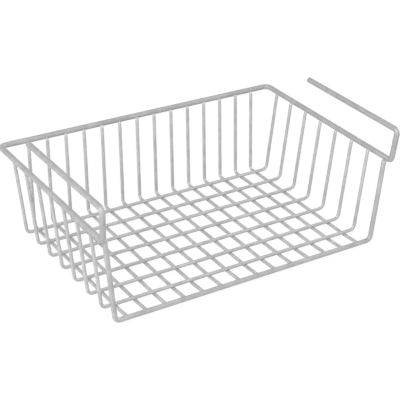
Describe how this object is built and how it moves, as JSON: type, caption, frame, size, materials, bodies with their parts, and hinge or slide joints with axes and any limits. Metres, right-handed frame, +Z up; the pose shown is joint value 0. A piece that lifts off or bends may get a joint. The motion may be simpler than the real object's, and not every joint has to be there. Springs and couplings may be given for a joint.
{
  "type": "under-shelf basket",
  "caption": "Open-fronted basket of welded, plastic-coated wire that slides onto a shelf board on its arms and hangs under it.",
  "frame": {"origin": "under the middle of the whole box, on the surface that the basket stands on", "axes": "+X to the basket's right as seen from its open front, +Y to its back wall, +Z up"},
  "size_m": [0.399, 0.2594, 0.1552],
  "materials": {
    "frame_coat": "satin silver-grey plastic coat on thick steel wire",
    "front_coat": "satin silver-grey plastic coat on the front steel wire",
    "long_coat": "satin silver-grey plastic coat on thin steel wire",
    "cross_coat": "satin silver-grey plastic coat on thin steel wire"
  },
  "bodies": {
    "root": {"frame_wire": "frame_coat", "front_wire": "front_coat", "long_wire_1": "long_coat", "long_wire_2": "long_coat", "long_wire_3": "long_coat", "long_wire_4": "long_coat", "long_wire_5": "long_coat", "long_wire_6": "long_coat", "long_wire_7": "long_coat", "cross_wire_01": "cross_coat", "cross_wire_02": "cross_coat", "cross_wire_03": "cross_coat", "cross_wire_04": "cross_coat", "cross_wire_05": "cross_coat", "cross_wire_06": "cross_coat", "cross_wire_07": "cross_coat", "cross_wire_08": "cross_coat", "cross_wire_09": "cross_coat", "cross_wire_10": "cross_coat", "cross_wire_11": "cross_coat", "cross_wire_12": "cross_coat", "cross_wire_13": "cross_coat", "cross_wire_14": "cross_coat"}
  },
  "joints": []
}
